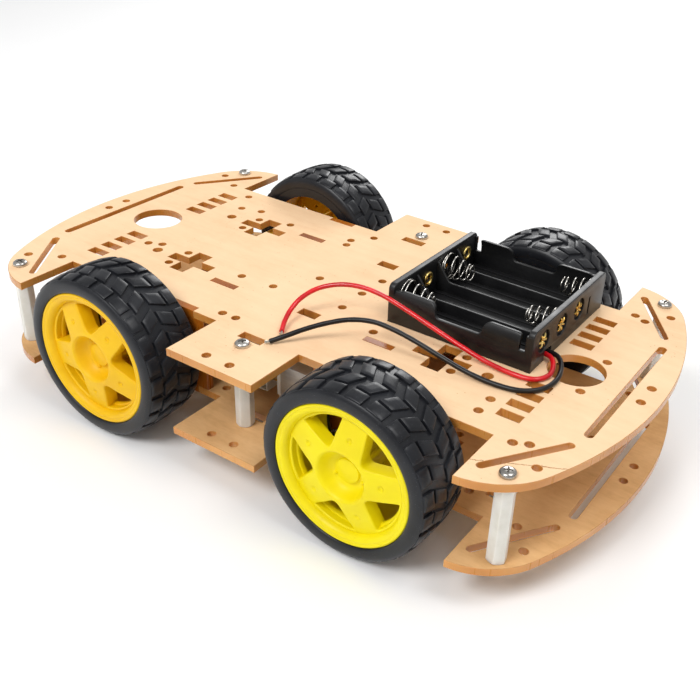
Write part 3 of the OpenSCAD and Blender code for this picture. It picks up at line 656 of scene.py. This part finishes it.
def head_mesh():
    """A pan head with a cross recess, as a mesh in millimetres, underside at z = 0."""
    bm = bmesh.new()
    lathe(bm, [(0, 0), (2.6, 0), (2.75, 0.12), (2.75, 0.85), (2.62, 1.2), (2.3, 1.55), (1.8, 1.8),
               (1.2, 1.91), (0.6, 1.95), (0, 1.95)], 48)
    bmesh.ops.recalc_face_normals(bm, faces=bm.faces)
    head = link("head", to_mesh(bm, "head"))
    bm = bmesh.new()
    for turn in (0, PI / 2):
        mark = len(bm.verts)
        # half length and half width of one slot, at its floor and above the head
        v = [bm.verts.new((sx * w, sy * d, z)) for z, w, d in ((0.7, 1.05, 0.22), (2.3, 1.62, 0.36))
             for sx, sy in ((-1, -1), (1, -1), (1, 1), (-1, 1))]
        for f in ((0, 3, 2, 1), (4, 5, 6, 7), (0, 1, 5, 4), (1, 2, 6, 5), (2, 3, 7, 6), (3, 0, 4, 7)):
            bm.faces.new([v[i] for i in f])
        move_new(bm, Matrix.Rotation(turn, 4, "Z"), mark)
    cross = link("cross", to_mesh(bm, "cross"))
    mod = head.modifiers.new("cross", "BOOLEAN")
    mod.object, mod.operation, mod.solver, mod.use_self = cross, "DIFFERENCE", "EXACT", True
    bpy.context.view_layer.update()
    out = bpy.data.meshes.new_from_object(head.evaluated_get(bpy.context.evaluated_depsgraph_get()))
    for o in (head, cross):
        bpy.data.objects.remove(o)
    return out


HEAD = head_mesh()

bm = bmesh.new()
for i, (x, y) in enumerate(STANDOFFS):
    for z, tilt, turn in ((UP_TOP, 0, 20 + 31 * i), (LOW_Z, PI, 47 * i)):
        m = Matrix.Translation((x, y, z)) @ Matrix.Rotation(tilt, 4, "X") \
            @ Matrix.Rotation(math.radians(turn), 4, "Z")
        add_mesh(bm, HEAD, m)
        lathe(bm, [(0, -7.6), (1.1, -7.6), (1.4, -7.2), (1.4, 0.1), (0, 0.1)], 20, m)
finish_mesh(bm, "pan_head_screws", [NICKEL], "chassis", ["standoff_screws"], 32)

# bolts through both bracket plates, threaded where they come out, with a nut on each
NUT_H = 2.4
bm = bmesh.new()
nuts = bmesh.new()
for sx, sy in CORNERS:
    for s in (-1, 1):
        z = AXLE_Z + s * BOLT_DZ
        head_at = axes(X, Z * -sy, Y * sy, (sx * BOLT_X, sy * WAIST, z))
        nut_at = axes(X, Z * -sy, Y * sy, (sx * BOLT_X, sy * (WAIST - BRACKET_IN - NUT_H), z))
        add_mesh(bm, HEAD, head_at @ Matrix.Rotation(0.45 + s, 4, "Z"))
        lathe(bm, [(0, -21), (1.42, -21), (1.42, 0.1), (0, 0.1)], 20, head_at)
        thread(bm, head_at, 1.46, -20.9, -29.9)
        prism(nuts, 5.5, NUT_H, 1.5, 0.55, nut_at @ Matrix.Rotation(0.3 * s + sx, 4, "Z"))
finish_mesh(bm, "bracket_machine_bolts", [NICKEL], "chassis", ["bracket_bolts"], 32)
finish_mesh(nuts, "bracket_hex_nuts", [NICKEL], "chassis", ["bracket_nuts"], 28)

# ---- wheels: drawn with the axle along z, height 0 at the tyre's inner face ----------------------
def crown(h):
    """Radius over the tread at a height across the tyre."""
    return TYRE_R - 1.3 * (abs(h - TYRE_W / 2) / (TYRE_W / 2)) ** 3.2


def tyre_block(bm, h0, h1, width, shift, slant, turn):
    """One tread block: a grid over the crown with softened rims and walls down to the carcass."""
    nu, nv = 3, 4

    def ring_at(places, spread, drop):
        out = []
        for i, j in places:
            t = j / nv
            h = (h0 - spread) + (h1 - h0 + 2 * spread) * t
            u = (2 * i / nu - 1) * (width / 2 + spread) + shift + slant * (t - 0.5)
            a = turn + u / TYRE_R
            r = crown(min(max(h, 0.4), TYRE_W - 0.4)) - drop
            out.append(bm.verts.new((r * math.cos(a), r * math.sin(a), h)))
        return out

    top = [ring_at([(i, j) for j in range(nv + 1)], -0.32, 0.0) for i in range(nu + 1)]
    for p, q in zip(top, top[1:]):
        for j in range(nv):
            bm.faces.new((p[j], q[j], q[j + 1], p[j + 1]))
    edge = [(i, 0) for i in range(nu)] + [(nu, j) for j in range(nv)] \
        + [(i, nv) for i in range(nu, 0, -1)] + [(0, j) for j in range(nv, 0, -1)]
    rings = [[top[i][j] for i, j in edge]]
    rings += [ring_at(edge, spread, drop) for spread, drop in ((-0.08, 0.12), (0.0, 0.42), (0.16, 1.7))]
    for p, q in zip(rings, rings[1:]):
        skin(bm, p, q)
    bm.faces.new(rings[-1])


# the rows of the tread: from and to across the tyre, width, shift and slant round it
TREAD_ROWS = [(20.3, 24.85, 6.3, 0.0, 0.3), (13.5, 19.4, 5.2, -1.5, 3.0),
              (6.6, 12.5, 5.2, -3.4, -3.0), (1.15, 5.7, 6.3, -5.0, -0.3)]


def tyre_mesh():
    """Carcass with a bead on each side, and four slanted rows of tread blocks."""
    bm = bmesh.new()
    half = [(25.05, 13), (25.05, 3.4), (26.22, 2.5), (26.22, 0.7), (26.5, 0.35), (27.2, 0.12),
            (28.2, 0.04), (29.3, 0.1), (30.1, 0.3), (30.75, 0.62), (31.1, 0.95), (31.12, 1.2),
            (30.75, 1.5), (30.85, 2.2), (31.15, 4), (31.4, 7), (31.5, 10), (31.5, 13)]
    lathe(bm, half + [(r, TYRE_W - h) for r, h in reversed(half[1:-1])], 120, closed=True)
    for k in range(TREAD_PITCHES):
        for row in TREAD_ROWS:
            tyre_block(bm, *row, 2 * PI * k / TREAD_PITCHES)
    return bm


def round_loop(pts, r, n=3):
    """Rounds the corners of a loop of (x, y, share of the radius r)."""
    out = []
    for i, (x, y, k) in enumerate(pts):
        p = Vector((x, y))
        if k <= 0:
            out.append((x, y))
            continue
        a, b = Vector(pts[i - 1][:2]), Vector(pts[(i + 1) % len(pts)][:2])
        d = min(r * k, (p - a).length * 0.45, (b - p).length * 0.45)
        s, e = p + (a - p).normalized() * d, p + (b - p).normalized() * d
        for j in range(n + 1):
            t = j / n
            out.append(tuple(s * (1 - t) ** 2 + p * 2 * t * (1 - t) + e * t * t))
    return out


def window(turn):
    """Opening between two spokes, centred on an angle, clockwise."""
    outer = [(x, y, 0) for x, y in arc(0, 0, 21.2, -22.6, 22.6, 16)]
    for end in (0, -1):
        outer[end] = outer[end][:2] + (1.0,)
    side = [(17.2, 6.15), (15.2, 4.3), (13.3, 2.75), (12.2, 1.8), (11.55, 1.0), (11.32, 0.45)]
    inner = side + [(11.25, 0)] + [(x, -y) for x, y in reversed(side)]
    pts = round_loop(outer + [(x, y, 0) for x, y in inner], 0.5)
    c, s = math.cos(turn), math.sin(turn)
    return [(x * c - y * s, x * s + y * c) for x, y in pts][::-1]


def dish(r):
    """Height of the spokes' front: proud round the hub, lower where they meet the barrel."""
    t = min(max((r - 9.4) / 12.1, 0), 1)
    return 25.2 - 2.3 * t ** 1.15


def studs(bm, r, angles, prof, n, z=0.0):
    """Turns the same small profile at each of some angles on a circle."""
    for a in angles:
        lathe(bm, prof, n, Matrix.Translation((r * math.cos(a), r * math.sin(a), z)))


def rim_mesh():
    bm = bmesh.new()
    spokes = [2 * PI * k / SPOKES for k in range(SPOKES)]
    # the spokes are one plate with five windows and a dimple in each spoke, bent to the dish
    dimple_r, long_edge = 15, 1.9
    loops = [circle(0, 0, 22.4, 120, False), circle(0, 0, 9.25, 72)]
    loops += [window(a + PI / SPOKES) for a in spokes]
    loops += [circle(dimple_r * math.cos(a), dimple_r * math.sin(a), 0.7, 16) for a in spokes]
    plate(bm, loops, [(0, -5.2)] + soft_top(0, 0.6))
    # level edges are split until they are short enough to follow the dish
    for _ in range(3):
        long = [e for e in bm.edges if e.calc_length() > long_edge
                and abs(e.verts[0].co.z - e.verts[1].co.z) < 1e-4]
        bmesh.ops.subdivide_edges(bm, edges=long, cuts=1)
        bmesh.ops.triangulate(bm, faces=[f for f in bm.faces if len(f.verts) > 4])
    for v in bm.verts:
        v.co.z += dish(math.hypot(v.co.x, v.co.y))
    # barrel: rounded lip, smooth run down to the spoke ends, ledge behind the windows
    lathe(bm, [(23.6, 0.7), (25.9, 0.7), (26.2, 1.0), (26.2, 1.9), (25.0, 2.9), (25.0, 22.6),
               (26.2, 23.6), (26.2, 24.7), (26.08, 25.08), (25.8, 25.34), (25.4, 25.42),
               (25.05, 25.36), (24.85, 25.18), (24.6, 25.16), (24.4, 25.26), (23.9, 25.18), (23.5, 25.0),
               (23.0, 24.6), (22.6, 24.0), (22.3, 23.3), (22.1, 22.5), (21.9, 21.2), (21.7, 20.6),
               (21.2, 20.4), (20.6, 20.3), (20.4, 19.9), (20.4, 18.9), (20.9, 18.6), (23.6, 18.3)],
          144, closed=True)
    studs(bm, dimple_r, spokes, [(0, -0.6), (0.35, -0.55), (0.85, -0.2), (0.95, -1.2), (0, -1.3)], 16,
          dish(dimple_r))
    # bowl round the axle with a plain disc over the shaft, three small studs in it
    lathe(bm, [(0, 21.25), (3.9, 21.2), (4.35, 21.02), (4.5, 20.6), (4.6, 20.15), (5.2, 20.0),
               (6.2, 20.1), (7.0, 20.6), (7.7, 21.6), (8.35, 23.0), (8.75, 24.2), (9.1, 24.8),
               (9.5, 25.1), (9.95, 25.0), (10.4, 24.0), (10.6, 21.0), (10.2, 19.2), (9.6, 18.7),
               (0, 18.4)], 72)
    studs(bm, 6.1, [math.radians(a) for a in (-35, 85, 205)],
          [(0, 20.85), (0.4, 20.75), (0.65, 20.4), (0.7, 19.9), (0, 19.8)], 12)
    # hub sleeve and the ribs behind it
    lathe(bm, [(2.75, -4.0), (5.3, -4.0), (5.6, -3.7), (5.7, 18.5), (2.75, 18.5)], 48, closed=True)
    for a in spokes:
        block(bm, (5.2, -0.6, 1.5), (10.1, 0.6, 19.3), Matrix.Rotation(a + PI / SPOKES, 4, "Z"))
    return bm


RIM = solid_mesh(rim_mesh(), "spoked_rim", [RIM_PLASTIC_LIT], 38)
TYRE = solid_mesh(tyre_mesh(), "tyre_tread", [RUBBER], 42)
BEAD = [(22.5, 0.62), (22.6, 0.42), (23.6, 0.26), (26.6, 0.2), (26.6, 0.62)]
OTHER_WAY = Matrix.Translation((0, 0, TYRE_W * MM)) @ Matrix.Rotation(PI, 4, "X")

# spoke: how far the wheel is turned on its axle, in degrees; swap: the tyre is fitted the other way round
for key, body, sx, sy, spoke, swap in (("fr", "wheel_front_right", 1, -1, 8, False),
                                       ("fl", "wheel_front_left", 1, 1, 0, True),
                                       ("rr", "wheel_rear_right", -1, -1, 50, True),
                                       ("rl", "wheel_rear_left", -1, 1, 68, False)):
    at = Vector((sx * AXLE_X, sy * TYRE_IN, AXLE_Z)) * MM
    m = Matrix.Translation(at) @ Matrix.Rotation(-sy * PI / 2, 4, "X") \
        @ Matrix.Rotation(math.radians(spoke * -sy), 4, "Z")
    rim = RIM.copy()
    rim.transform(m)
    # front rims take the copy painted as lit, rear rims the copy painted as shaded
    rim.materials[0] = RIM_PLASTIC_LIT if sx > 0 else RIM_PLASTIC_SHADED
    place(rim, "rim_spoked_" + key, body, ["rim_" + key])
    bm = bmesh.new()
    add_mesh(bm, TYRE, OTHER_WAY if swap else None)
    # bead lip over the back of the rim
    lathe(bm, [(r * MM, h * MM) for r, h in BEAD], 96, closed=True)
    bmesh.ops.transform(bm, matrix=m, verts=bm.verts)
    tyre = shade(to_mesh(bm, "tyre_" + key), [RUBBER], 42)
    place(tyre, "tyre_treaded_" + key, body, ["tyre_" + key])

# ---- battery holder, springs and eyelets --------------------------------------------------------
# drawn from its corner on the tape: length along x, width along y, height, pitch of the bays and
# height of the cells' axes; then the walls and how far they reach down beside the tape
TAPE_T = 0.3
HOLD = Matrix.Translation((29.7, -12.5, UP_TOP + TAPE_T))
HL, HW, HH, PITCH, CELL_Z = 58.6, 61.0, 15.2, 14.55, 8.7
SIDE_T, WEB_T, END_T, RECESS = 1.4, 1.0, 2.4, 0.9
SUNK = -0.27
SIDE = [(0.05, SUNK, 0), (HL - 0.05, SUNK, 0), (HL - 0.05, 13.4, 0), (HL - 3, 13.4, 0.3),
        (HL - 3, 7.4, 0.3), (HL - 5.2, 7.4, 0.3), (HL - 5.2, 12.8, 0.5), (HL - 6.6, 13.2, 1),
        (HL - 17.6, 13.2, 1.6), (HL - 19.4, 12, 1), (HL - 20.2, 7.8, 1.4), (20.2, 7.8, 1.4),
        (19.4, 12, 1), (17.6, 13.2, 1.6), (6, 13.2, 1), (4.8, 12.8, 0.3), (0.05, 12.8, 0)]
WEB = [(1, 0, 0), (HL - 1, 0, 0), (HL - 1, 13.4, 0), (HL - 2.4, 13.4, 0.5), (HL - 8, 6, 1),
       (8, 6, 1), (2.4, 13.4, 0.5), (1, 13.4, 0)]


def bay(i):
    """Middle of a cell bay, across the holder."""
    return SIDE_T + PITCH * (i + 0.5)


def end_loop(notch):
    """Outline of an end wall, with the leads' notch at its foot or without."""
    r, e, lo, hi = 2.2, 0.03, HW - 16.2, HW - 10.8
    pts = [(e, SUNK)]
    if notch:
        pts += [(lo, SUNK), (lo, 3.0), (lo + 0.6, 3.6), (hi - 0.6, 3.6), (hi, 3.0), (hi, SUNK)]
    pts += [(HW - e, SUNK)]
    return pts + arc(HW - e - r, HH - r, r, 0, 90, 6) + arc(e + r, HH - r, r, 90, 180, 6)


def end_wall(bm, right):
    """Wall with a round recess at each cell, and a smaller hole through it for the contact."""
    m = axes(-Y, Z, -X, (HL, HW, 0)) if right else axes(Y, Z, X)
    loop = end_loop(right)
    bays = [HW - bay(i) for i in range(3)] if right else [bay(i) for i in range(4)]
    recesses = [circle(y, CELL_Z, 4.2, 40) for y in bays]
    if right:
        # the last bay has a narrow slot for the soldered contact
        slot, half = HW - 47.1, 0.65
        recesses.append(rect(slot - half, 2.6, slot + half, 9.8)[::-1])
    plate(bm, [loop] + recesses, soft_foot(0, 0.3) + [(0, RECESS)], m)
    holes = [circle(y, CELL_Z, 1.2, 24) for y in bays]
    plate(bm, [loop] + holes, [(0, RECESS)] + soft_top(END_T, 0.35), m)


def side_wall(bm, far):
    """Long wall with a tab at each end that leans in over the cells."""
    lean_z, clear = 8.8, 4.4
    side = bmesh.new()
    wall = [(HL - x, z, k) for x, z, k in reversed(SIDE)] if far else SIDE
    plate(side, [round_loop(wall, 1.0)], soft(0, SIDE_T, 0.3))
    for z in (8.9, 9.8, 10.6, 11.4, 12.1, 12.7, 13.2, 13.6):
        bmesh.ops.bisect_plane(side, geom=side.verts[:] + side.edges[:] + side.faces[:],
                               plane_co=(0, z, 0), plane_no=(0, 1, 0))
    for v in side.verts:
        if v.co.y > lean_z and (v.co.x > clear if far else v.co.x < HL - clear):
            v.co.z += 0.06 * (v.co.y - lean_z) ** 2 * (1 if far else -1)
    add_mesh(bm, to_mesh(side, "side"), axes(X, Z, -Y, (0, HW if far else SIDE_T, 0)))


bm = bmesh.new()
floor = [(0.1, 0.1), (HL - 0.1, 0.1), (HL - 0.1, 10.8), (HL - 4, 10.8), (HL - 4, 16.2),
         (HL - 0.1, 16.2), (HL - 0.1, HW - 0.1), (0.1, HW - 0.1)]
plate(bm, [floor], [(0.25, 0), (0.05, 0.08), (0, 0.3), (0, 1.6)])
for right in (False, True):
    end_wall(bm, right)
for far in (False, True):
    side_wall(bm, far)
for i in (1, 2, 3):
    y = SIDE_T + PITCH * i + WEB_T / 2
    plate(bm, [round_loop(WEB, 1.2, 4)], soft(0, WEB_T, 0.28, 2), axes(X, Z, -Y, (0, y, 0)))
for i in range(4):
    # low rails that keep each cell off the floor
    for y in (bay(i) - 4.6, bay(i) + 4.6):
        block(bm, (3, y - 0.5, 1.5), (HL - 3, y + 0.5, 2.1))
move_new(bm, HOLD, 0)
finish_mesh(bm, "cell_holder_shell", [BLACK], "chassis", ["battery_holder"], 32)


def wall_place(i, left):
    """Matrix with x from the left or the right end wall into bay i."""
    if left:
        return HOLD @ Matrix.Translation((0, bay(i), CELL_Z))
    return HOLD @ axes(-X, -Y, Z, (HL, bay(i), CELL_Z))


def eyelet(bm, i, left):
    """Hollow eyelet through the wall, split into petals in the recess. Where no spring covers
    it, a rolled collar shows inside too."""
    out = wall_place(i, left) @ axes(Y, Z, X)
    if (i % 2 == 0) != left:
        lathe(bm, [(1.7, 2.35), (2.85, 2.35), (3.0, 2.6), (2.95, 2.95), (2.65, 3.25), (2.25, 3.3),
                   (1.9, 3.1), (1.72, 2.7)], 40, out, closed=True)
    lathe(bm, [(0.8, 0.5), (1.12, 0.5), (1.12, 1.9), (0.8, 1.9)], 24, out, closed=True)
    for k in range(6):
        a = 2 * PI * k / 6 + 0.3 * i
        petal = [Vector((math.cos(a) * r, math.sin(a) * r, h)) for r, h in
                 ((0.95, 0.95), (1.05, 0.62), (1.4, 0.4), (1.9, 0.36), (2.4, 0.46), (2.75, 0.66))]
        tube(bm, petal, lambda t: 0.5 - 0.16 * t, 8, out)


def spring(bm, i):
    """Conical spring, one closed turn at the wall and one at the tip."""
    turns, steps, foot_x, tip_x = 5, 110, 2.85, 13.05
    start = 0.9 * i
    line = []
    for k in range(steps + 1):
        t = turns * k / steps
        rise = min(max((t - 0.8) / 3.6, 0), 1)
        f = rise * rise * (3 - 2 * rise) * 0.25 + rise * 0.75
        r = 5.25 - 2.35 * f
        a = 2 * PI * t + start
        line.append(Vector((foot_x + (tip_x - foot_x) * f, r * math.cos(a), r * math.sin(a))))
    for turn, r in ((0.5, 2.2), (0.9, 1.1)):
        # the wire's end is turned in at the tip
        a = 2 * PI * turns + start + turn
        line.append(Vector((tip_x, math.cos(a) * r, math.sin(a) * r)))
    tube(bm, line, 0.32, 8, wall_place(i, i % 2 == 0))


springs = bmesh.new()
brass = bmesh.new()
for i in range(4):
    if i < 3:
        eyelet(brass, i, False)
    eyelet(brass, i, True)
    spring(springs, i)
finish_mesh(springs, "contact_springs", [SPRING], "chassis", ["battery_springs"], 60)
finish_mesh(brass, "contact_eyelets", [BRASS], "chassis", ["battery_eyelets"], 40)

# ---- finishes of the parts kept as they are ------------------------------------------------------
FINISH = {"gearbox_outer": GEARBOX, "gearbox_inner": GEARBOX, "motor_can": STEEL, "rotor": COPPER,
          "crown_gear": GEARS, "middle_gear": GEARS, "third_gear": GEARS, "output_shaft": GEARS,
          "motor_end_caps": NYLON, "motor_magnets": FERRITE, "motor_straps": STRAP,
          "motor_terminals": BRASS, "gearbox_screws": NICKEL, "gear_pins": STEEL,
          "holder_tape": FOAM}
ROUNDED = ("gearbox_outer", "gearbox_inner", "motor_can", "motor_end_caps")

for node, ob in NODES.items():
    kind = node[:-3] if node[-3:] in ("_fr", "_fl", "_rr", "_rl") else node
    if kind in FINISH:
        if not ob.material_slots:
            ob.data.materials.append(FINISH[kind])
        for s in ob.material_slots:
            s.material = FINISH[kind]
        weld = ob.modifiers.new("weld", "WELD")
        weld.merge_threshold = 1e-6
    if kind in ROUNDED:
        soften = ob.modifiers.new("soften", "BEVEL")
        soften.width, soften.segments, soften.limit_method = 0.00018, 2, "ANGLE"
        soften.angle_limit = math.radians(40)

# ---- floor and light ------------------------------------------------------------------------------
bm = bmesh.new()
plate(bm, [rect(-1800, -1800, 1800, 1800)], [(0, -4), (0, 0)])
bmesh.ops.scale(bm, vec=(MM, MM, MM), verts=bm.verts)
studio = Mat("studio_floor", Roughness=0.9)
studio.set(Base_Color=studio.mix(studio.span(studio.noise(3, 3), 0.3, 0.7), "f6f6f6", "fafafa"))
floor_ob = link("studio_floor", to_mesh(bm, "floor"))
floor_ob.data.materials.append(studio.m)


def lamp(name, at, power):
    """A round lamp that looks at the chassis."""
    data = bpy.data.lights.new(name, "AREA")
    data.shape, data.size, data.energy = "DISK", 0.5, power
    ob = link(name, data)
    ob.location = at
    ob.rotation_euler = (Vector((0, 0, 0.03)) - Vector(at)).to_track_quat("-Z", "Y").to_euler()


lamp("key", (-0.1, -0.8, 0.95), 7.7)
lamp("top", (0.5, 0.0, 1.0), 3.5)
lamp("back", (-0.3, 0.9, 0.55), 4)
world = bpy.data.worlds.new("world")
world.use_nodes = True
sky = world.node_tree.nodes["Background"]
sky.inputs["Color"].default_value = (1, 1, 1, 1)
sky.inputs["Strength"].default_value = 0.5
bpy.context.scene.world = world
bpy.context.scene.view_settings.view_transform = "Standard"
